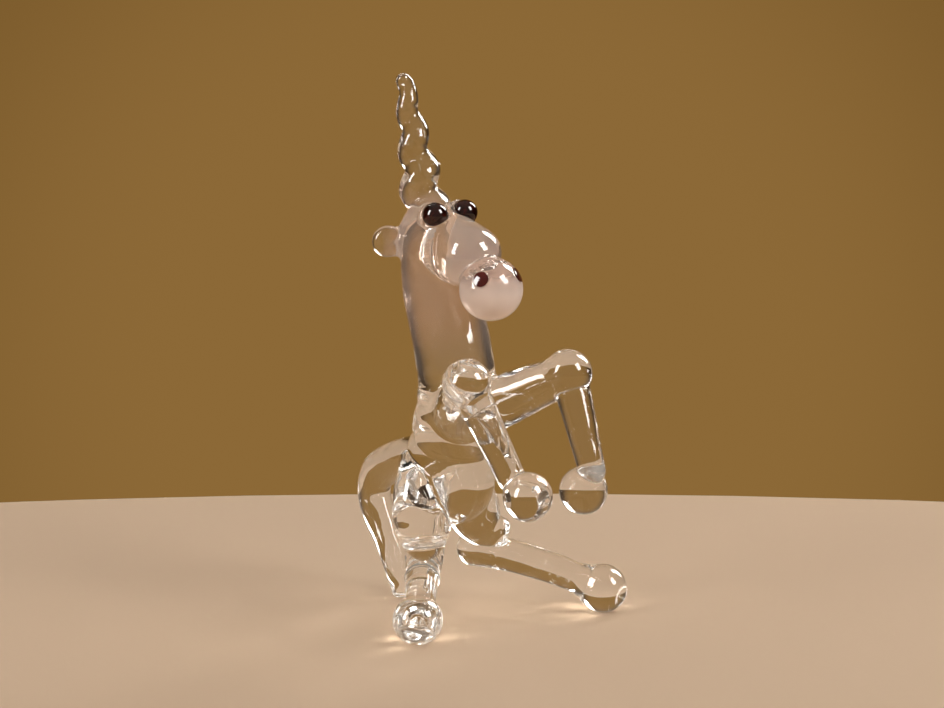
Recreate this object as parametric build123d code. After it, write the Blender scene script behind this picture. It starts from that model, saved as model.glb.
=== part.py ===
from build123d import *
import os
from math import asin, cos, pi, radians, sin, sqrt

os.makedirs("parts", exist_ok=True)

# Clear glass unicorn worked at the lamp, rearing on two hind hooves and its tail tip.
# It faces -Y, its left side is +X and +Z is up. Lengths are in millimetres, angles in degrees.
# Heights count from the ground and setbacks from the right hind hoof, until the whole figure
# is moved so that the middle of its footprint is the origin.

# Sides of the body
right = -1
left = 1

# Trunk
belly_radius = 4.35
belly_height = 14.3
belly_back = 5.5
loin_radius = 4.25
loin_rise = 2.8
loin_setback = 0.8
chest_radius = 4.3
chest_height = 20.2
chest_back = 5.1
withers_radius = 4.1
withers_rise = 2.2
withers_lead = 0.6

# Neck
neck_radius = 3.93
neck_sway = 0.45
neck_steps = 6

# Head
skull_radius = 3.95
skull_height = 38.6
skull_back = 7.9
face_radius = 3.15
face_reach = 5.6
face_drop = 0.4

# Muzzle
muzzle_radius = 3.2
muzzle_reach = 9.15
muzzle_drop = 3.3

# Eyes, each a dark bead sunk in a clear mound
eye_mound_radius = 1.57
eye_mound_side = 1.6
eye_mound_lead = 1.5
eye_mound_rise = 3.1
eye_radius = 1.3
eye_set_out = 0.65
eye_turn_angle = 20
eye_rise_angle = 22

# Nostrils, each a dark dot on the muzzle
nostril_radius = 0.78
nostril_curve = 0.85
nostril_proud = 0.05

# Ears
ear_radius = 1.65
ear_half_thickness = 0.85
ear_side = 4.3
ear_back = 2.75
ear_rise = 0.3
ear_turn_angle = 32

# Horn, one groove wound round a tapered core
horn_length = 14.0
horn_root_radius = 2.9
horn_tip_radius = 1.0
horn_seat_lean_angle = 34
horn_lean_angle = 16.5
horn_set_in = 1.4
horn_offset = 0.35
horn_pitch = 3.95
horn_groove_share = 0.4
horn_steps_per_turn = 8
horn_points_per_ring = 14

# Forelegs
shoulder_radius = 2.85
shoulder_side = 1.2
shoulder_lead = 2.6
shoulder_rise = 1.9
upper_foreleg_length = 10.6
upper_foreleg_end_radius = 1.95
knee_radius = 2.45
lower_foreleg_length = 10.0
lower_foreleg_top_radius = 1.9
lower_foreleg_end_radius = 1.4
fore_hoof_radius = 2.45
fore_hoof_reach = 2.7

# Way out of the muzzle to each nostril, turn from straight ahead towards the left and rise
nostril_pose = {right: (-56, 27), left: (43, 29)}

# Pose of the forelegs, turn from straight ahead towards the left and rise above level
upper_foreleg_pose = {right: (-30, 29), left: (33.5, 26)}
lower_foreleg_pose = {right: (39, -64), left: (0, -66)}
fore_hoof_pose = {right: (15, -38), left: (180, -58)}

# Hind legs
hind_hoof_radius = 2.55
sole_depth = 0.15
cannon_length = 14.0
cannon_top_radius = 1.75
cannon_end_radius = 1.55
hock_radius = 1.95
hock_length = 2.3
right_hock_across = 0.23
right_hock_back = 10.92
left_hock_across = 4.46
left_hock_back = 7.84
weld_groove = 0.15
hip_side = 3.7
hip_back = 7.6
hip_height = 16.6
hip_radius = 1.3
stifle_radius = 2.9
right_stifle_side = 4.0
right_stifle_back = 5.5
right_stifle_height = 12.2
left_stifle_side = 2.7
left_stifle_back = 6.9
left_stifle_height = 13.0
thigh_end_radius = 1.1
thigh_share_along_cannon = 0.8
thigh_steps = 6

# Pose of the hind cannons, from the hock forward and down to the hoof
cannon_pose = {right: (-37, -12.5), left: (45, -15.5)}

# Tail
tail_root_radius = 2.3
tail_tip_radius = 1.1
tail_root_drop = 0.3
tail_crest_back = 15.4
tail_crest_height = 14.7
tail_bend_back = 20.3
tail_bend_height = 10.8
tail_under_back = 17.5
tail_under_height = 5.4
tail_tip_back = 15.0
tail_steps = 10
tail_taper_power = 1.6

# Shares of a dome's height at which a rounded end takes its sections
dome_shares = (0.35, 0.65, 0.85, 0.96)


def reach(start, length, turn, rise):
    """Point at a distance, turned from straight ahead towards the left and raised above level."""
    flat = length * cos(radians(rise))
    step = Vector(flat * sin(radians(turn)), -flat * cos(radians(turn)), length * sin(radians(rise)))
    return start + step


def ball(centre, radius):
    return Pos(*centre) * Sphere(radius)


def bead(start, end, start_radius, end_radius, start_flat=False, end_flat=False):
    """Tapered rod between two points, each end a tangent ball or a flat with a broken edge."""
    axis = end - start
    length = axis.length
    lean = asin((start_radius - end_radius) / length)
    if start_flat:
        head = [Line((0, 0), (start_radius - weld_groove, 0))]
        head.append(Line(head[0] @ 1, (start_radius, weld_groove)))
    else:
        tangent = (start_radius * cos(lean), start_radius * sin(lean))
        half = (lean - pi / 2) / 2
        middle = (start_radius * cos(half), start_radius * sin(half))
        head = [ThreePointArc((0, -start_radius), middle, tangent)]
    if end_flat:
        tail = [Line((end_radius, length - weld_groove), (end_radius - weld_groove, length))]
        tail.append(Line(tail[0] @ 1, (0, length)))
    else:
        tangent = (end_radius * cos(lean), length + end_radius * sin(lean))
        half = (lean + pi / 2) / 2
        middle = (end_radius * cos(half), length + end_radius * sin(half))
        tail = [ThreePointArc(tangent, middle, (0, length + end_radius))]
    side = Line(head[-1] @ 1, tail[0] @ 0)
    closing = Line(tail[-1] @ 1, head[0] @ 0)
    profile = make_face(head + [side] + tail + [closing])
    return Plane(origin=start, z_dir=axis) * revolve(Plane.XZ * profile, Axis.Z)


def flowing_rod(points, radius_at, steps, dome_start=None):
    """Rod lofted through circles along a smooth path, with a domed or a flat start."""
    path = Spline(*points)
    sections = []
    if dome_start:
        tip, away = path @ 0, path % 0
        sections.append(Vertex(*(tip - away * dome_start)))
        for share in reversed(dome_shares):
            plane = Plane(origin=tip - away * dome_start * share, z_dir=away)
            sections.append(plane * Circle(dome_start * sqrt(1 - share**2)))
    for step in range(steps + 1):
        place = step / steps
        plane = Plane(origin=path @ place, z_dir=path % place)
        sections.append(plane * Circle(radius_at(place)))
    return loft(sections)


def dot(host_centre, host_radius, direction, radius, curve, proud):
    """Lens of dark glass melted into a ball, standing a little proud of it."""
    outer = host_radius + proud
    rim = sqrt(outer**2 - radius**2)
    inner = rim + sqrt(curve**2 - radius**2) - curve
    half = asin(radius / outer) / 2
    outer_arc = ThreePointArc((0, outer), (outer * sin(half), outer * cos(half)), (radius, rim))
    half = asin(radius / curve) / 2
    middle = (curve * sin(half), inner + curve * (1 - cos(half)))
    inner_arc = ThreePointArc((radius, rim), middle, (0, inner))
    profile = make_face([outer_arc, inner_arc, Line((0, inner), (0, outer))])
    return Plane(origin=host_centre, z_dir=direction) * revolve(Plane.XZ * profile, Axis.Z)


belly_centre = Vector(0, belly_back, belly_height)
chest_centre = Vector(0, chest_back, chest_height)
withers_centre = chest_centre + Vector(0, -withers_lead, withers_rise)
skull_centre = Vector(0, skull_back, skull_height)
face_centre = skull_centre + Vector(0, -face_reach, -face_drop)
muzzle_centre = skull_centre + Vector(0, -muzzle_reach, -muzzle_drop)


def make_belly():
    loin_centre = belly_centre + Vector(0, loin_setback, loin_rise)
    return bead(belly_centre, loin_centre, belly_radius, loin_radius)


def make_chest():
    return bead(chest_centre, withers_centre, chest_radius, withers_radius)


def make_neck():
    points = []
    for step in range(neck_steps + 1):
        share = step / neck_steps
        straight = withers_centre + (skull_centre - withers_centre) * share
        points.append(straight - Vector(0, neck_sway * sin(2 * pi * share), 0))
    return flowing_rod(points, lambda place: neck_radius, neck_steps)


def make_head():
    return bead(skull_centre, face_centre, skull_radius, face_radius)


def make_muzzle():
    return ball(muzzle_centre, muzzle_radius)


def eye_mound_centre(side):
    return skull_centre + Vector(side * eye_mound_side, -eye_mound_lead, eye_mound_rise)


def make_eye_mound(side):
    return ball(eye_mound_centre(side), eye_mound_radius)


def make_eye(side):
    mound = eye_mound_centre(side)
    return ball(reach(mound, eye_set_out, side * eye_turn_angle, eye_rise_angle), eye_radius)


def make_nostril(side):
    outward = reach(Vector(0, 0, 0), muzzle_radius, *nostril_pose[side])
    return dot(muzzle_centre, muzzle_radius, outward, nostril_radius, nostril_curve, nostril_proud)


def make_ear(side):
    """Flattened bead standing on its edge at the side of the skull."""
    flat_radius = ear_radius - ear_half_thickness
    low = Line((0, -ear_half_thickness), (flat_radius, -ear_half_thickness))
    rim = ThreePointArc(low @ 1, (ear_radius, 0), (flat_radius, ear_half_thickness))
    high = Line(rim @ 1, (0, ear_half_thickness))
    profile = make_face([low, rim, high, Line(high @ 1, low @ 0)])
    place = skull_centre + Vector(side * ear_side, ear_back, ear_rise)
    forward = reach(Vector(0, 0, 0), ear_radius, side * ear_turn_angle, 0)
    return Plane(origin=place, z_dir=forward) * revolve(Plane.XZ * profile, Axis.Z)


def horn_ring(radius, height):
    """Ring with a round side and a sharp valley, which turns with height."""
    points = []
    for step in range(horn_points_per_ring + 1):
        share = step / horn_points_per_ring
        reach_out = radius * (1 - horn_groove_share * (1 - sin(pi * share)))
        angle = 2 * pi * (height / horn_pitch + share)
        points.append((reach_out * cos(angle), reach_out * sin(angle)))
    points[-1] = points[0]
    return make_face(Spline(*points))


def make_horn():
    lean = radians(horn_seat_lean_angle)
    seat = skull_centre + Vector(0, sin(lean), cos(lean)) * (skull_radius - horn_set_in)
    seat = seat + Vector(right * horn_offset, 0, 0)
    along = Vector(0, sin(radians(horn_lean_angle)), cos(radians(horn_lean_angle)))
    foot = Plane(origin=seat, x_dir=(1, 0, 0), z_dir=along)
    full_length = horn_length + horn_set_in
    straight = full_length - horn_tip_radius
    steps = round(straight / horn_pitch * horn_steps_per_turn)
    sections = []
    for step in range(steps + 1):
        height = straight * step / steps
        radius = horn_root_radius + (horn_tip_radius - horn_root_radius) * step / steps
        sections.append(foot.offset(height) * horn_ring(radius, height))
    for share in dome_shares:
        height = straight + horn_tip_radius * share
        radius = horn_tip_radius * sqrt(1 - share**2)
        sections.append(foot.offset(height) * horn_ring(radius, height))
    tip = seat + along * full_length
    sections.append(Vertex(*tip))
    return loft(sections)


def shoulder_centre(side):
    return chest_centre + Vector(side * shoulder_side, -shoulder_lead, shoulder_rise)


def knee_centre(side):
    return reach(shoulder_centre(side), upper_foreleg_length, *upper_foreleg_pose[side])


def fetlock_centre(side):
    return reach(knee_centre(side), lower_foreleg_length, *lower_foreleg_pose[side])


def fore_hoof_centre(side):
    return reach(fetlock_centre(side), fore_hoof_reach, *fore_hoof_pose[side])


def own_half(side):
    """Block that fills one side of the animal, to part the two forelegs at the middle."""
    width = 2 * (shoulder_radius + upper_foreleg_length)
    block = Box(width, width, width, align=(Align.MIN, Align.CENTER, Align.CENTER))
    return Pos(*withers_centre) * (Rot(0, 0, 180) * block if side == right else block)


def make_upper_foreleg(side):
    shoulder = shoulder_centre(side)
    arm = bead(shoulder, knee_centre(side), shoulder_radius, upper_foreleg_end_radius)
    return arm & own_half(side)


def make_knee(side):
    return ball(knee_centre(side), knee_radius)


def make_lower_foreleg(side):
    top, end = knee_centre(side), fetlock_centre(side)
    return bead(top, end, lower_foreleg_top_radius, lower_foreleg_end_radius)


def make_fore_hoof(side):
    return ball(fore_hoof_centre(side), fore_hoof_radius)


def hock_centre(side):
    turn, rise = cannon_pose[side]
    height = hind_hoof_radius - sole_depth - cannon_length * sin(radians(rise))
    if side == right:
        return Vector(right_hock_across, right_hock_back, height)
    return Vector(left_hock_across, left_hock_back, height)


def hind_hoof_centre(side):
    return reach(hock_centre(side), cannon_length, *cannon_pose[side])


def hock_front(side):
    towards_hoof = (hind_hoof_centre(side) - hock_centre(side)).normalized()
    return hock_centre(side) + towards_hoof * hock_length


def make_hock(side):
    return bead(hock_centre(side), hock_front(side), hock_radius, cannon_top_radius, end_flat=True)


def make_cannon(side):
    start, end = hock_front(side), hind_hoof_centre(side)
    return bead(start, end, cannon_top_radius, cannon_end_radius, start_flat=True)


def above_ground(centre, reach_out):
    """Block that stands on the ground round a piece, to cut its sole flat."""
    width = 2 * reach_out
    block = Box(width, width, width, align=(Align.CENTER, Align.CENTER, Align.MIN))
    return Pos(centre.X, centre.Y, 0) * block


def make_hind_hoof(side):
    centre = hind_hoof_centre(side)
    return ball(centre, hind_hoof_radius) & above_ground(centre, hind_hoof_radius)


def thigh_radius_at(place):
    """Radius that swells from the hip to the stifle and thins again to the hock."""
    if place < 0.5:
        return hip_radius + (stifle_radius - hip_radius) * sin(pi * place)
    return thigh_end_radius + (stifle_radius - thigh_end_radius) * sin(pi * place)


def make_thigh(side):
    hip = Vector(side * hip_side, hip_back, hip_height)
    stifle = Vector(-right_stifle_side, right_stifle_back, right_stifle_height)
    if side == left:
        stifle = Vector(left_stifle_side, left_stifle_back, left_stifle_height)
    hoof, hock = hind_hoof_centre(side), hock_centre(side)
    foot = hoof + (hock - hoof) * thigh_share_along_cannon
    foot = foot + Vector(0, 0, cannon_top_radius)
    return flowing_rod([hip, stifle, foot], thigh_radius_at, thigh_steps, dome_start=hip_radius)


def tail_radius_at(place):
    return tail_root_radius + (tail_tip_radius - tail_root_radius) * place**tail_taper_power


def make_tail():
    points = [
        belly_centre + Vector(0, 0, tail_root_drop),
        Vector(0, tail_crest_back, tail_crest_height),
        Vector(0, tail_bend_back, tail_bend_height),
        Vector(0, tail_under_back, tail_under_height),
        Vector(0, tail_tip_back, -tail_tip_radius),
    ]
    rod = flowing_rod(points, tail_radius_at, tail_steps)
    return rod & above_ground(points[0], tail_bend_back)


def make_pieces():
    """Every piece, each trimmed by the larger neighbours that it is welded to."""
    pieces = {"chest": make_chest()}
    pieces["belly"] = make_belly() - pieces["chest"]
    pieces["muzzle"] = make_muzzle()
    pieces["head"] = make_head() - pieces["muzzle"]
    pieces["neck"] = make_neck() - pieces["chest"] - make_head()
    pieces["horn"] = make_horn() - make_head()
    pieces["tail"] = make_tail() - pieces["chest"] - pieces["belly"]
    for side, word in ((right, "right"), (left, "left")):
        eye = make_eye(side)
        pieces[f"{word}_eye"] = eye
        pieces["head"] = pieces["head"] - eye
        pieces["horn"] = pieces["horn"] - eye
        pieces[f"{word}_eye_mound"] = make_eye_mound(side) - eye - make_head() - pieces["horn"]
        pieces[f"{word}_nostril"] = make_nostril(side)
        pieces["muzzle"] = pieces["muzzle"] - pieces[f"{word}_nostril"]
        pieces[f"{word}_ear"] = make_ear(side) - make_head() - pieces["neck"]
        knee = make_knee(side)
        fore_hoof = make_fore_hoof(side)
        lower = make_lower_foreleg(side) - knee - fore_hoof
        upper = make_upper_foreleg(side) - knee - lower - pieces["chest"] - pieces["neck"]
        pieces[f"{word}_upper_foreleg"] = upper - pieces["belly"]
        pieces[f"{word}_knee"] = knee
        pieces[f"{word}_lower_foreleg"] = lower
        pieces[f"{word}_fore_hoof"] = fore_hoof
        hind_hoof = make_hind_hoof(side)
        hock = make_hock(side)
        cannon = make_cannon(side) - hind_hoof
        pieces[f"{word}_hind_hoof"] = hind_hoof
        pieces[f"{word}_hock"] = hock
        pieces[f"{word}_hind_cannon"] = cannon
        thigh = make_thigh(side) - pieces["chest"] - pieces["belly"] - pieces["tail"]
        pieces[f"{word}_thigh"] = thigh - hock - cannon
    return pieces


def footing_of(pieces):
    """Middle of the footprint of all the pieces, at ground level."""
    boxes = [piece.bounding_box() for piece in pieces.values()]
    low = [min(box.min.X for box in boxes), min(box.min.Y for box in boxes)]
    high = [max(box.max.X for box in boxes), max(box.max.Y for box in boxes)]
    return Vector((low[0] + high[0]) / 2, (low[1] + high[1]) / 2, min(box.min.Z for box in boxes))


pieces = make_pieces()
footing = footing_of(pieces)
print("footing", [round(step, 3) for step in footing])
for name, piece in pieces.items():
    export_step(Pos(*-footing) * piece, f"parts/{name}.step")
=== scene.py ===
import math

import bpy
import numpy as np
import openvdb as vdb
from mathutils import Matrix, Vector


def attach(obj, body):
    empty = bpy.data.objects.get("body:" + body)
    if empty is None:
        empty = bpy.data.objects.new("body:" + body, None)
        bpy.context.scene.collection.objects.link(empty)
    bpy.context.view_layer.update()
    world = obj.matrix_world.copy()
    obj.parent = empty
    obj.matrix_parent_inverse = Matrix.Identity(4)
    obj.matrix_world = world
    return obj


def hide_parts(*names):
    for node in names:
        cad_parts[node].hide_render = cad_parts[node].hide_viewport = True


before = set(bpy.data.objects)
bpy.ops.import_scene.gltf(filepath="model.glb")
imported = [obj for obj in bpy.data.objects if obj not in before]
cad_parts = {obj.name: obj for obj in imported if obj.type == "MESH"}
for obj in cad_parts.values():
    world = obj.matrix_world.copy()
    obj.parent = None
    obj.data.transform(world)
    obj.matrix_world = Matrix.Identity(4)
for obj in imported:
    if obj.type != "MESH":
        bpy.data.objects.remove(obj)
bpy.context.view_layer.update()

# Clear glass unicorn worked at the lamp. All of its clear pieces were fused in the flame, so
# they are dressed here as one skin of glass, cut into one piece for each clear node of the frame.
# The frame is in metres. The skin is worked out in millimetres.
MM = 0.001
UP = (0, 0, 1)
DOWN = (0, 0, -1)
SIDEWAYS = (1, 0, 0)
FORWARDS = (0, 1, 0)

# Camera, where the figurine is seen as in the photograph: metres and degrees
CAMERA_PLACE = (-0.15503, -0.21937, 0.08215)
CAMERA_TURN = -35.0
CAMERA_PITCH = 11.5
CAMERA_LENS = 102.97
CAMERA_SENSOR = 36.0
CAMERA_CLIP = (0.01, 20)

# Surroundings. Directions are unit vectors. Each range holds cosines of the angle to one of
# them: to FRONT for the backdrop and for the room behind the camera, to VIEW_AXIS for the
# vignette and to UP for the ceiling.
FRONT = (0.5736, 0.8192, 0.0)
VIEW_AXIS = (0.5621, 0.8027, -0.1994)
BACKDROP_COLOUR = (0.262, 0.141, 0.038, 1)
BACKDROP_EDGE = (0.2, 0.105, 0.026, 1)
VIGNETTE_RANGE = (0.972, 0.995)
BACKDROP_RANGE = (0.62, 0.92)
SIDE_COLOUR = (0.035, 0.018, 0.007, 1)
ROOM_RANGE = (-0.6, -0.1)
ROOM_COLOUR = (0.3, 0.26, 0.22, 1)
CEILING_RANGE = (0.6, 0.95)
CEILING_COLOUR = (0.4, 0.36, 0.31, 1)
AMBIENT = (0.38, 0.37, 0.36, 1)
WORLD_STRENGTH = 1.0

# Windows, seen in the glass only: aim, tangents of half the width and half the height, brightness
WINDOWS = (
    ((0.36, -0.705, 0.586), 0.18, 0.26, 20.0),
    ((-0.893, 0.137, 0.439), 0.14, 0.34, 20.0),
    ((0.834, 0.145, 0.53), 0.14, 0.3, 20.0),
)
WINDOW_TINT = (1.0, 0.98, 0.94)
# Shares of the half width and half height between which a window fades out
WINDOW_EDGE = (0.9, 1.05)
# Cosines of the angle to a window's aim: where it glows in full, as there is nothing of it to
# the side and behind, and the least one that the tangents are worked out with
WINDOW_FACING = 0.1
WINDOW_LEAST_FACING = 0.001

# Round floor, in metres: its radius and how far it reaches behind the origin
FLOOR_RADIUS = 0.4
FLOOR_BACK = 0.05
FLOOR_CORNERS = 128
FLOOR_COLOUR = (0.7, 0.5, 0.33, 1)
FLOOR_ROUGHNESS = 0.9

# Lamps: name, place, width and height in metres, power in watts. They aim at one place.
LAMPS = (
    ("key", (0.16, -0.32, 0.3), (0.16, 0.2), 0.5),
    ("fill", (-0.38, 0.04, 0.22), (0.12, 0.24), 0.3),
    ("back", (0.36, 0.08, 0.27), (0.14, 0.2), 0.35),
)
LAMP_AIM = (0, 0, 0.028)

# Noises of the materials: scale, detail and distortion
CORD_NOISE = (260.0, 3.0, 1.5)
LUMP_NOISE = (1300.0, 2.0, 0.6)
DOT_NOISE = (900.0, 3.0, 0.5)

# Clear glass. Lengths in the materials are in metres.
GLASS_IOR = 1.5
CLEAR_TINT = (0.985, 0.98, 0.975, 1)
CLOUD_TINT = (0.95, 0.93, 0.91, 1)
CORD_DEPTH = 0.00002

# Painted reflection of bright surroundings in neck and head, a pale diffuse share: heights where
# it sets in and where the horn is free of it, how far from the middle of the muzzle it reaches
# sideways, how dense it is and its colour
PAINTED_REFLECTION_HEIGHTS = (0.024, 0.034)
HORN_HEIGHTS = (0.0415, 0.0445)
PAINTED_REFLECTION_REACH = (0.0041, 0.0046)
PAINTED_REFLECTION_SHARE = 0.16
PAINTED_REFLECTION_TINT = (1.0, 0.84, 0.74, 1)

# Milk in the muzzle: middle of the ball, squares of the distances from it between which the milk
# ends, depths below it between which the milk sets in, how dense it is and its colours. The
# lower colour is a little lighter: painted light from the floor below.
MUZZLE_PLACE = (-0.003, -0.00551, 0.0353)
MUZZLE_SPREAD = (0.0000095, 0.0000135)
MUZZLE_MILK_RANGE = (-0.003, 0.0006)
MILK_SHARE = 0.92
MILK_PALE = (0.95, 0.8, 0.72, 1)
MILK_PAINTED_LIGHTER_BELOW = (1.0, 0.84, 0.75, 1)

# Lumpy, sparkling welds: middle and radius of each, and the share of the radius that is all lumpy
LUMPS = (
    ((-0.00574, -0.00560, 0.03735), 0.0008),
    ((-0.00401, -0.00641, 0.03784), 0.0010),
    ((-0.00249, -0.00630, 0.03857), 0.0009),
    ((-0.00459, -0.00167, 0.01064), 0.0014),
    ((0.00270, 0.00138, 0.00754), 0.0016),
)
LUMP_CORE = 0.5
LUMP_DEPTH = 0.0005

# Dark dots: roughness, noise values between which the colour turns from deep to glow, and those
# two colours
DOT_ROUGHNESS = 0.02
DOT_CLOUD_RANGE = (0.35, 0.75)
EYE_COLOURS = ((0.01, 0.001, 0.0008, 1), (0.07, 0.009, 0.005, 1))
NOSTRIL_COLOURS = ((0.06, 0.006, 0.004, 1), (0.14, 0.015, 0.01, 1))

# Most times that a ray of light is reflected or let through
LIGHT_BOUNCES = 24

# Grid of the skin: size of a voxel in millimetres, and voxels of distance kept on either side of
# each surface and left free round the whole
VOXEL = 0.15
BAND = 10
SKIN_MARGIN = 2
# Share of the band in which distances are true, and voxels that a place stays inside its block
TRUE_SHARE = 0.999
RIM = 0.001

# Steps in which the points of the skin are moved onto it, and the least square of the slope there
SURFACE_STEPS = 3
LEAST_STEEPNESS = 0.25

# Shares of a voxel's neighbours and of its own in one pass of smoothing
BLUR_SIDE = 0.25
BLUR_MIDDLE = 0.5

# Order in which the clear pieces join the skin, and how wide each weld flows, in millimetres
WELDS = (
    ("chest", 0.0),
    ("belly", 0.4),
    ("neck", 0.9),
    ("right_thigh", 0.3),
    ("left_thigh", 0.3),
    ("tail", 0.9),
    ("right_upper_foreleg", 0.45),
    ("left_upper_foreleg", 0.6),
    ("right_knee", 0.35),
    ("left_knee", 0.5),
    ("right_lower_foreleg", 0.2),
    ("left_lower_foreleg", 0.2),
    ("right_fore_hoof", 0.45),
    ("left_fore_hoof", 0.45),
    ("right_hock", 0.25),
    ("left_hock", 0.4),
    ("right_hind_cannon", 0.15),
    ("left_hind_cannon", 0.3),
    ("right_hind_hoof", 0.35),
    ("left_hind_hoof", 1.1),
    ("head", 0.4),
    ("muzzle", 0.22),
    ("horn", 0.3),
    ("right_eye_mound", 0.35),
    ("left_eye_mound", 0.35),
    ("right_ear", 0.9),
    ("left_ear", 0.9),
)

# Dark dots let into the skin, and how far the glass reaches into them, in millimetres
DOTS = ("right_eye", "left_eye", "right_nostril", "left_nostril")
DOT_SEAT = 0.06

# Raised rings round the right hock and cannon, in millimetres: a point and the direction of the
# leg, places of the rings along it from that point, height and half width of a ring
RING_START = (-2.772, 6.661, 5.43)
RING_AXIS = (-0.588, -0.78, -0.216)
RING_PLACES = (-0.6, 1.0, 2.5, 5.4)
RING_HEIGHT = 0.2
RING_WIDTH = 0.28
RINGED = ("right_hock", "right_hind_cannon")

# Bow of the left cannon, in millimetres: start, direction and length of the leg, and how far it
# rises between its ends
BOW_START = (1.458, 3.581, 6.14)
BOW_AXIS = (0.681, -0.681, -0.267)
BOW_LENGTH = 14.0
BOW_HEIGHT = 0.4
BOWED = ("left_hind_cannon", "left_hock")

# Ears pressed thinner in the middle, in millimetres: middle of each, depth of the hollow on
# either face and its half width
EAR_MIDDLES = {"right_ear": (-7.302, 6.391, 38.9), "left_ear": (1.298, 6.391, 38.9)}
EAR_HOLLOW_DEPTH = 0.5
EAR_HOLLOW_WIDTH = 0.85

# Waviness of the hand-worked surface, in millimetres
SEED = 7
WAVE_LENGTH = 2.2
WAVE_HEIGHT = 0.03


# Field of the skin
def mesh_of(node):
    """Points in millimetres and triangles of a node of the frame."""
    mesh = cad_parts[node].data
    points = np.empty(len(mesh.vertices) * 3, np.float32)
    mesh.vertices.foreach_get("co", points)
    mesh.calc_loop_triangles()
    triangles = np.empty(len(mesh.loop_triangles) * 3, np.int32)
    mesh.loop_triangles.foreach_get("vertices", triangles)
    return points.reshape(-1, 3) / MM, triangles.reshape(-1, 3).astype(np.uint32)


class Block:
    """Part of the grid: signed distances in millimetres, and the voxel where they begin."""

    def __init__(self, low, values):
        self.low = low
        self.values = values


def block_of(node):
    """Distances to the surface of a node, in a block that holds it with its band."""
    points, triangles = mesh_of(node)
    grid = vdb.FloatGrid.createLevelSetFromPolygons(
        points,
        triangles=triangles,
        transform=vdb.createLinearTransform(voxelSize=VOXEL),
        halfWidth=BAND,
    )
    low = np.floor(points.min(0) / VOXEL).astype(int) - BAND
    high = np.ceil(points.max(0) / VOXEL).astype(int) + BAND
    values = np.empty(high - low + 1, np.float32)
    grid.copyToArray(values, ijk=tuple(int(i) for i in low))
    return Block(low, values)


def along_axis(values, axis):
    """A row of values, turned so that it runs along one of the grid's three axes."""
    return values.reshape([-1 if i == axis else 1 for i in range(3)])


def distance_along(block, start, direction):
    """How far each voxel lies from a point along a direction, in millimetres."""
    along = -float(np.dot(start, direction))
    for axis, count in enumerate(block.values.shape):
        steps = (block.low[axis] + np.arange(count)) * VOXEL * direction[axis]
        along = along + along_axis(steps, axis)
    return along


def add_rings(block):
    """Raise rings, as the turned rod keeps where it was squeezed."""
    along = distance_along(block, RING_START, RING_AXIS)
    for place in RING_PLACES:
        swell = np.exp(-(((along - place) / RING_WIDTH) ** 2))
        block.values -= (RING_HEIGHT * swell).astype(np.float32)


def bow(block):
    """Lift the leg between its two ends, most in the middle."""
    along = distance_along(block, BOW_START, BOW_AXIS)
    lift = BOW_HEIGHT * np.sin(np.pi * np.clip(along / BOW_LENGTH, 0, 1)) / VOXEL
    height = block.values.shape[2]
    place = np.clip(np.arange(height) - lift, 0, height - (1 + RIM))
    cell = place.astype(int)
    share = (place - cell).astype(np.float32)
    lower = np.take_along_axis(block.values, cell, 2)
    upper = np.take_along_axis(block.values, cell + 1, 2)
    block.values = lower * (1 - share) + upper * share


def press_ear(block, middle):
    """Hollow both faces of an ear round its middle."""
    square = 0.0
    for direction in (SIDEWAYS, FORWARDS, UP):
        square = square + distance_along(block, middle, direction) ** 2
    hollow = EAR_HOLLOW_DEPTH * np.exp(-square / EAR_HOLLOW_WIDTH**2)
    block.values += hollow.astype(np.float32)


def place_in(whole, part):
    """Slices of the whole that the part covers."""
    start = part.low - whole.low
    return tuple(slice(s, s + n) for s, n in zip(start, part.values.shape))


def melt(a, b, width):
    """Smallest of two distances, with a fillet of the given width where they meet."""
    small = np.minimum(a, b)
    if width <= 0:
        return small
    near = np.maximum(a, b) < BAND * VOXEL * TRUE_SHARE
    overlap = np.where(near, np.maximum(width - np.abs(a - b), 0), 0)
    return small - overlap**2 / (4 * width)


def blur(values):
    """One pass of a small smoothing kernel along each axis."""
    for axis in range(3):
        sharp = values.swapaxes(0, axis)
        soft = sharp.copy()
        soft[1:-1] = BLUR_SIDE * sharp[:-2] + BLUR_MIDDLE * sharp[1:-1] + BLUR_SIDE * sharp[2:]
        values = soft.swapaxes(0, axis)
    return np.ascontiguousarray(values)


def waviness(shape):
    """Slow random swell of the surface, as the flame leaves it."""
    rng = np.random.default_rng(SEED)
    spacing = WAVE_LENGTH / VOXEL
    field = rng.standard_normal([int(n / spacing) + 2 for n in shape]).astype(np.float32)
    for axis, count in enumerate(shape):
        place = np.arange(count) / spacing
        cell = place.astype(int)
        ease = place - cell
        ease = along_axis((ease**2 * (3 - 2 * ease)).astype(np.float32), axis)
        field = np.take(field, cell, axis) * (1 - ease) + np.take(field, cell + 1, axis) * ease
    return WAVE_HEIGHT * field


def make_skin(blocks):
    """Field of the whole figurine, with seats for the dark dots."""
    low = np.min([b.low for b in blocks.values()], 0) - SKIN_MARGIN
    high = np.max([b.low + b.values.shape for b in blocks.values()], 0) + SKIN_MARGIN
    skin = Block(low, np.full(high - low, BAND * VOXEL, np.float32))
    for node, width in WELDS:
        part = blocks[node]
        place = place_in(skin, part)
        skin.values[place] = melt(skin.values[place], part.values, width)
    skin.values = blur(skin.values + waviness(skin.values.shape))
    for node in DOTS:
        part = blocks[node]
        place = place_in(skin, part)
        skin.values[place] = np.maximum(skin.values[place], -(part.values + DOT_SEAT))
    return skin


def basis(t):
    """Cubic B-spline weights of four neighbours, and their slopes."""
    u = 1 - t
    weights = np.stack([u**3 / 6, 2 / 3 - t**2 + t**3 / 2, 2 / 3 - u**2 + u**3 / 2, t**3 / 6], -1)
    slopes = np.stack([-(u**2) / 2, -2 * t + 1.5 * t**2, 2 * u - 1.5 * u**2, t**2 / 2], -1)
    return weights, slopes


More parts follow.
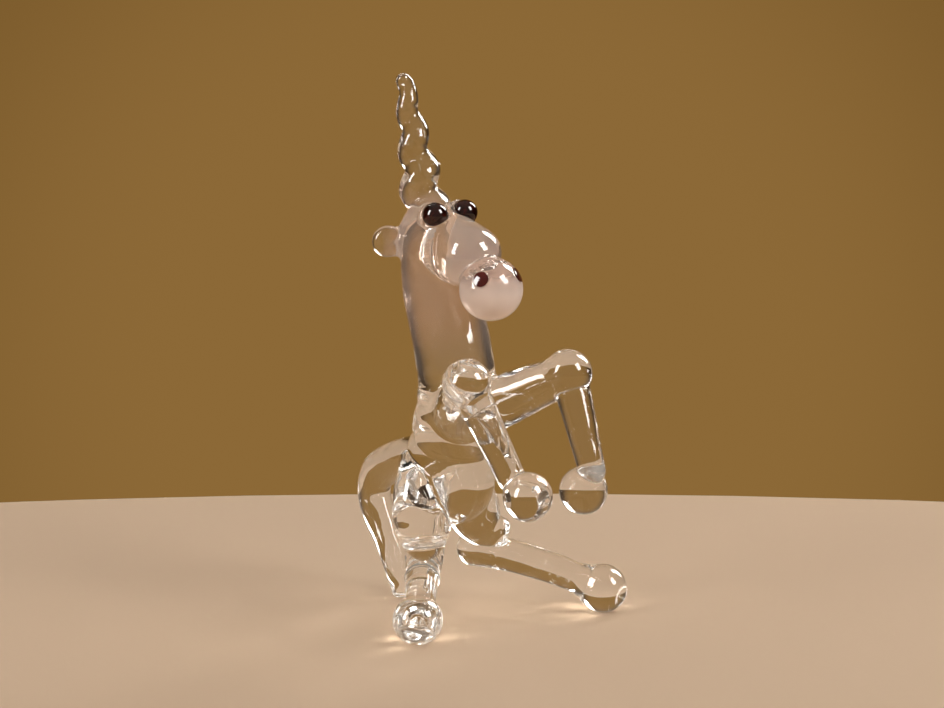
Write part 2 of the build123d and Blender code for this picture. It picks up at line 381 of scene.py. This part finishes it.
def sample(block, points):
    """Smooth value and gradient of a block's field at points in millimetres."""
    where = points / VOXEL - block.low
    size = np.array(block.values.shape)
    where = np.clip(where, 1, size - (2 + RIM))
    cell = np.floor(where).astype(int)
    weights, slopes = zip(*(basis(where[:, i] - cell[:, i]) for i in range(3)))
    value = np.zeros(len(points))
    gradient = np.zeros((len(points), 3))
    for i in range(4):
        for j in range(4):
            for k in range(4):
                f = block.values[cell[:, 0] + i - 1, cell[:, 1] + j - 1, cell[:, 2] + k - 1]
                x, y, z = weights[0][:, i], weights[1][:, j], weights[2][:, k]
                value += f * x * y * z
                gradient[:, 0] += f * slopes[0][:, i] * y * z
                gradient[:, 1] += f * x * slopes[1][:, j] * z
                gradient[:, 2] += f * x * y * slopes[2][:, k]
    return value, gradient / VOXEL


def skin_mesh(skin):
    """Points, normals and quads of the skin."""
    grid = vdb.FloatGrid(BAND * VOXEL)
    grid.copyFromArray(np.ascontiguousarray(skin.values), ijk=tuple(int(i) for i in skin.low))
    grid.transform = vdb.createLinearTransform(voxelSize=VOXEL)
    points, quads = grid.convertToQuads(0.0)
    points = points.astype(float)
    for _ in range(SURFACE_STEPS):
        value, gradient = sample(skin, points)
        steep = np.maximum((gradient**2).sum(1), LEAST_STEEPNESS)
        points -= (value / steep)[:, None] * gradient
    _, gradient = sample(skin, points)
    normals = gradient / np.linalg.norm(gradient, axis=1)[:, None]
    return points, normals, quads.astype(int)


# Pieces of the skin
def distance_to(block, points):
    """Distance of points to a node's surface, or the width of the band outside its block."""
    where = np.rint(points / VOXEL).astype(int) - block.low
    inside = np.all((where >= 0) & (where < block.values.shape), 1)
    found = np.full(len(points), BAND * VOXEL)
    found[inside], _ = sample(block, points[inside])
    return found


def build_piece(name, points, normals, faces, material):
    """Smooth object of some of the skin's faces, with the normals of the skin."""
    used, faces = np.unique(faces, return_inverse=True)
    faces = faces.reshape(-1, 4)
    mesh = bpy.data.meshes.new(name)
    mesh.from_pydata((points[used] * MM).tolist(), [], faces.tolist())
    mesh.update()
    mesh.shade_smooth()
    mesh.normals_split_custom_set_from_vertices(normals[used].tolist())
    mesh.materials.append(material)
    piece = bpy.data.objects.new(name, mesh)
    bpy.context.scene.collection.objects.link(piece)
    return piece


# Materials
class Wires:
    """Short way to add nodes to a node tree."""

    def __init__(self, tree):
        self.tree = tree

    def put(self, socket, value):
        """Link a socket to another one, or set it to a value."""
        if isinstance(value, bpy.types.NodeSocket):
            self.tree.links.new(value, socket)
        elif value is not None:
            socket.default_value = value

    def node(self, kind, **settings):
        """New node with its settings."""
        node = self.tree.nodes.new(kind)
        for key, value in settings.items():
            setattr(node, key, value)
        return node

    def math(self, operation, a, b=None):
        """Result of an operation on one or two numbers."""
        node = self.node("ShaderNodeMath", operation=operation)
        self.put(node.inputs[0], a)
        self.put(node.inputs[1], b)
        return node.outputs[0]

    def vector(self, operation, a, b, output="Vector"):
        """Result of an operation on two vectors."""
        node = self.node("ShaderNodeVectorMath", operation=operation)
        self.put(node.inputs[0], a)
        self.put(node.inputs[1], b)
        return node.outputs[output]

    def dot(self, a, b):
        """Dot product of two vectors."""
        return self.vector("DOT_PRODUCT", a, b, "Value")

    def fade(self, value, low, high, start=0.0, stop=1.0):
        """Smooth step from start to stop while a value goes from low to high."""
        node = self.node("ShaderNodeMapRange", interpolation_type="SMOOTHSTEP")
        for key, entry in (("Value", value), ("From Min", low), ("From Max", high)):
            self.put(node.inputs[key], entry)
        self.put(node.inputs["To Min"], start)
        self.put(node.inputs["To Max"], stop)
        return node.outputs["Result"]

    def mix(self, factor, a, b):
        """Colour that turns from a to b as the factor grows."""
        node = self.node("ShaderNodeMix", data_type="RGBA")
        self.put(node.inputs["Factor"], factor)
        self.put(node.inputs["A"], a)
        self.put(node.inputs["B"], b)
        return node.outputs["Result"]

    def noise(self, place, scale, detail, distortion):
        """Value of a noise at a place."""
        node = self.node("ShaderNodeTexNoise")
        self.put(node.inputs["Vector"], place)
        self.put(node.inputs["Scale"], scale)
        self.put(node.inputs["Detail"], detail)
        self.put(node.inputs["Distortion"], distortion)
        return node.outputs["Fac"]

    def bump(self, height):
        """Normal of a relief whose height is in metres."""
        node = self.node("ShaderNodeBump")
        self.put(node.inputs["Height"], height)
        for key in ("Distance", "Strength"):
            self.put(node.inputs[key], 1.0)
        return node.outputs["Normal"]


def principled(name, **values):
    """New material, its shader and the wires of its tree. An underscore stands for a space."""
    material = bpy.data.materials.new(name)
    material.use_nodes = True
    shader = material.node_tree.nodes["Principled BSDF"]
    for key, value in values.items():
        shader.inputs[key.replace("_", " ")].default_value = value
    return material, shader, Wires(material.node_tree)


def painted_reflection_cover(wires, place):
    """How dense the painted reflection of head and neck is: a pale diffuse share."""
    height = wires.dot(place, UP)
    painted_reflection = wires.fade(height, *PAINTED_REFLECTION_HEIGHTS, 0.0, PAINTED_REFLECTION_SHARE)
    painted_reflection = wires.math("MULTIPLY", painted_reflection, wires.fade(height, *HORN_HEIGHTS, 1.0, 0.0))
    away = wires.vector("SUBTRACT", place, MUZZLE_PLACE)
    aside = wires.math("ABSOLUTE", wires.dot(away, SIDEWAYS))
    return wires.math("MULTIPLY", painted_reflection, wires.fade(aside, *PAINTED_REFLECTION_REACH, 1.0, 0.0))


def glass_relief(wires, place, cords):
    """Height of the fine relief in metres: cords everywhere and lumps at the rough welds."""
    near = 0.0
    for middle, radius in LUMPS:
        away = wires.vector("SUBTRACT", place, middle)
        core = (LUMP_CORE * radius) ** 2
        spot = wires.fade(wires.dot(away, away), core, radius**2, 1.0, 0.0)
        near = wires.math("MAXIMUM", spot, near)
    lumps = wires.noise(place, *LUMP_NOISE)
    lumps = wires.math("MULTIPLY", wires.math("MULTIPLY", lumps, near), LUMP_DEPTH)
    return wires.math("ADD", wires.math("MULTIPLY", cords, CORD_DEPTH), lumps)


def clear_glass():
    """Clear glass with faint cords, a painted reflection in head and neck, and milk in the muzzle
    that is painted lighter below.
    """
    material, shader, wires = principled("clear_glass", Roughness=0.0, IOR=GLASS_IOR)
    place = wires.node("ShaderNodeTexCoord").outputs["Object"]
    cords = wires.noise(place, *CORD_NOISE)
    # Pale diffuse share in neck and head: a painted reflection of bright surroundings.
    painted_reflection = painted_reflection_cover(wires, place)
    clear = wires.mix(cords, CLEAR_TINT, CLOUD_TINT)
    clear = wires.mix(wires.fade(painted_reflection, 0.0, PAINTED_REFLECTION_SHARE), clear, PAINTED_REFLECTION_TINT)
    away = wires.vector("SUBTRACT", place, MUZZLE_PLACE)
    inside = wires.fade(wires.dot(away, away), *MUZZLE_SPREAD, 1.0, 0.0)
    down = wires.fade(wires.dot(away, DOWN), *MUZZLE_MILK_RANGE)
    milk = wires.math("MULTIPLY", inside, down)
    # The milk's colour turns lighter towards the bottom: painted light from the floor below.
    colour = wires.mix(inside, clear, wires.mix(down, MILK_PALE, MILK_PAINTED_LIGHTER_BELOW))
    cover = wires.math("MAXIMUM", painted_reflection, wires.math("MULTIPLY", milk, MILK_SHARE))
    wires.put(shader.inputs["Base Color"], colour)
    wires.put(shader.inputs["Transmission Weight"], wires.math("SUBTRACT", 1.0, cover))
    wires.put(shader.inputs["Normal"], wires.bump(glass_relief(wires, place, cords)))
    return material


def dark_glass(name, deep, glow):
    """Dark glass, clouded between two colours."""
    material, shader, wires = principled(name, Roughness=DOT_ROUGHNESS, IOR=GLASS_IOR)
    place = wires.node("ShaderNodeTexCoord").outputs["Object"]
    cloud = wires.fade(wires.noise(place, *DOT_NOISE), *DOT_CLOUD_RANGE)
    wires.put(shader.inputs["Base Color"], wires.mix(cloud, deep, glow))
    return material


# Camera, world, floor and lamps
def make_camera():
    """Camera at the photograph's place and angle."""
    camera = bpy.data.objects.new("camera", bpy.data.cameras.new("camera"))
    camera.data.lens = CAMERA_LENS
    camera.data.sensor_width = CAMERA_SENSOR
    camera.location = CAMERA_PLACE
    camera.rotation_euler = (math.radians(90 - CAMERA_PITCH), 0, math.radians(CAMERA_TURN))
    camera.data.clip_start, camera.data.clip_end = CAMERA_CLIP
    bpy.context.scene.collection.objects.link(camera)
    bpy.context.scene.camera = camera


def window_shape(wires, way, aim, half_width, half_height):
    """One inside an upright rectangle of the surroundings that is seen in a direction."""
    aim = Vector(aim).normalized()
    across = Vector(UP).cross(aim).normalized()
    high = aim.cross(across)
    depth = wires.math("MAXIMUM", wires.dot(way, tuple(aim)), WINDOW_LEAST_FACING)
    shape = wires.fade(wires.dot(way, tuple(aim)), 0.0, WINDOW_FACING)
    for axis, half in ((across, half_width), (high, half_height)):
        offset = wires.math("DIVIDE", wires.dot(way, tuple(axis)), depth)
        offset = wires.math("ABSOLUTE", offset)
        start, stop = (half * share for share in WINDOW_EDGE)
        shape = wires.math("MULTIPLY", shape, wires.fade(offset, start, stop, 1.0, 0.0))
    return shape


def room_colour(wires, way):
    """Surroundings that the glass shows: backdrop, dark sides, room, ceiling and windows."""
    front = wires.dot(way, FRONT)
    room = wires.mix(wires.fade(front, *BACKDROP_RANGE), SIDE_COLOUR, BACKDROP_COLOUR)
    room = wires.mix(wires.fade(front, *ROOM_RANGE), ROOM_COLOUR, room)
    room = wires.mix(wires.fade(wires.dot(way, UP), *CEILING_RANGE), room, CEILING_COLOUR)
    for aim, half_width, half_height, glow in WINDOWS:
        shine = window_shape(wires, way, aim, half_width, half_height)
        room = wires.mix(shine, room, (*(glow * share for share in WINDOW_TINT), 1))
    return room


def make_world():
    """Room for the glass, brown backdrop for the camera and even grey light for the rest."""
    world = bpy.data.worlds.new("studio")
    bpy.context.scene.world = world
    world.use_nodes = True
    wires = Wires(world.node_tree)
    way = wires.node("ShaderNodeTexCoord").outputs["Generated"]
    room = room_colour(wires, way)
    seen = wires.dot(way, VIEW_AXIS)
    backdrop = wires.mix(wires.fade(seen, *VIGNETTE_RANGE), BACKDROP_EDGE, BACKDROP_COLOUR)
    path = wires.node("ShaderNodeLightPath").outputs
    glass = wires.math("MAXIMUM", path["Is Glossy Ray"], path["Is Transmission Ray"])
    colour = wires.mix(glass, AMBIENT, room)
    colour = wires.mix(path["Is Camera Ray"], colour, backdrop)
    background = world.node_tree.nodes["Background"]
    wires.put(background.inputs["Color"], colour)
    wires.put(background.inputs["Strength"], WORLD_STRENGTH)


def make_floor():
    """Round floor whose far edge is seen a little way behind the figurine."""
    turn = math.radians(CAMERA_TURN)
    away = Vector((-math.sin(turn), math.cos(turn), 0))
    centre = away * (FLOOR_BACK - FLOOR_RADIUS)
    points = []
    for i in range(FLOOR_CORNERS):
        angle = 2 * math.pi * i / FLOOR_CORNERS
        x = centre.x + FLOOR_RADIUS * math.cos(angle)
        y = centre.y + FLOOR_RADIUS * math.sin(angle)
        points.append((x, y, 0))
    mesh = bpy.data.meshes.new("floor")
    mesh.from_pydata(points, [], [list(range(FLOOR_CORNERS))])
    floor = bpy.data.objects.new("floor", mesh)
    material, _, _ = principled("floor", Base_Color=FLOOR_COLOUR, Roughness=FLOOR_ROUGHNESS)
    mesh.materials.append(material)
    bpy.context.scene.collection.objects.link(floor)


def make_lamp(name, place, size, power):
    """Soft rectangular lamp that is turned to the figurine."""
    data = bpy.data.lights.new(name, "AREA")
    data.shape = "RECTANGLE"
    data.size, data.size_y = size
    data.energy = power
    lamp = bpy.data.objects.new(name, data)
    lamp.location = place
    lamp.rotation_euler = (Vector(place) - Vector(LAMP_AIM)).to_track_quat("Z", "Y").to_euler()
    bpy.context.scene.collection.objects.link(lamp)


def set_bounces():
    """Let light pass through many surfaces of glass one behind another."""
    cycles = bpy.context.scene.cycles
    cycles.max_bounces = LIGHT_BOUNCES
    cycles.glossy_bounces = LIGHT_BOUNCES
    cycles.transmission_bounces = LIGHT_BOUNCES


# Dressing of the frame
def shaped_blocks():
    """Blocks of all nodes, with the rings, the bow and the hollow ears worked in."""
    blocks = {node: block_of(node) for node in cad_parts}
    for node in RINGED:
        add_rings(blocks[node])
    for node in BOWED:
        bow(blocks[node])
    for node, middle in EAR_MIDDLES.items():
        press_ear(blocks[node], middle)
    return blocks


def dress_glass():
    """One piece of the skin for each clear node, made of the faces that lie nearest to it."""
    glass = clear_glass()
    blocks = shaped_blocks()
    points, normals, quads = skin_mesh(make_skin(blocks))
    names = [node for node, _ in WELDS]
    distances = np.stack([distance_to(blocks[node], points) for node in names])
    labels = distances[:, quads].mean(2).argmin(0)
    for index, node in enumerate(names):
        piece = build_piece("glass_" + node, points, normals, quads[labels == index], glass)
        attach(piece, "root")
        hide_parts(node)


def dress_dots():
    """New materials on the frame's own eyes and nostrils."""
    eye_glass = dark_glass("eye_glass", *EYE_COLOURS)
    nostril_glass = dark_glass("nostril_glass", *NOSTRIL_COLOURS)
    for node in DOTS:
        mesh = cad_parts[node].data
        mesh.materials.clear()
        mesh.materials.append(eye_glass if node.endswith("eye") else nostril_glass)


make_camera()
make_world()
make_floor()
for name, place, size, power in LAMPS:
    make_lamp(name, place, size, power)
set_bounces()
dress_glass()
dress_dots()

bpy.context.scene.view_settings.view_transform = "Standard"
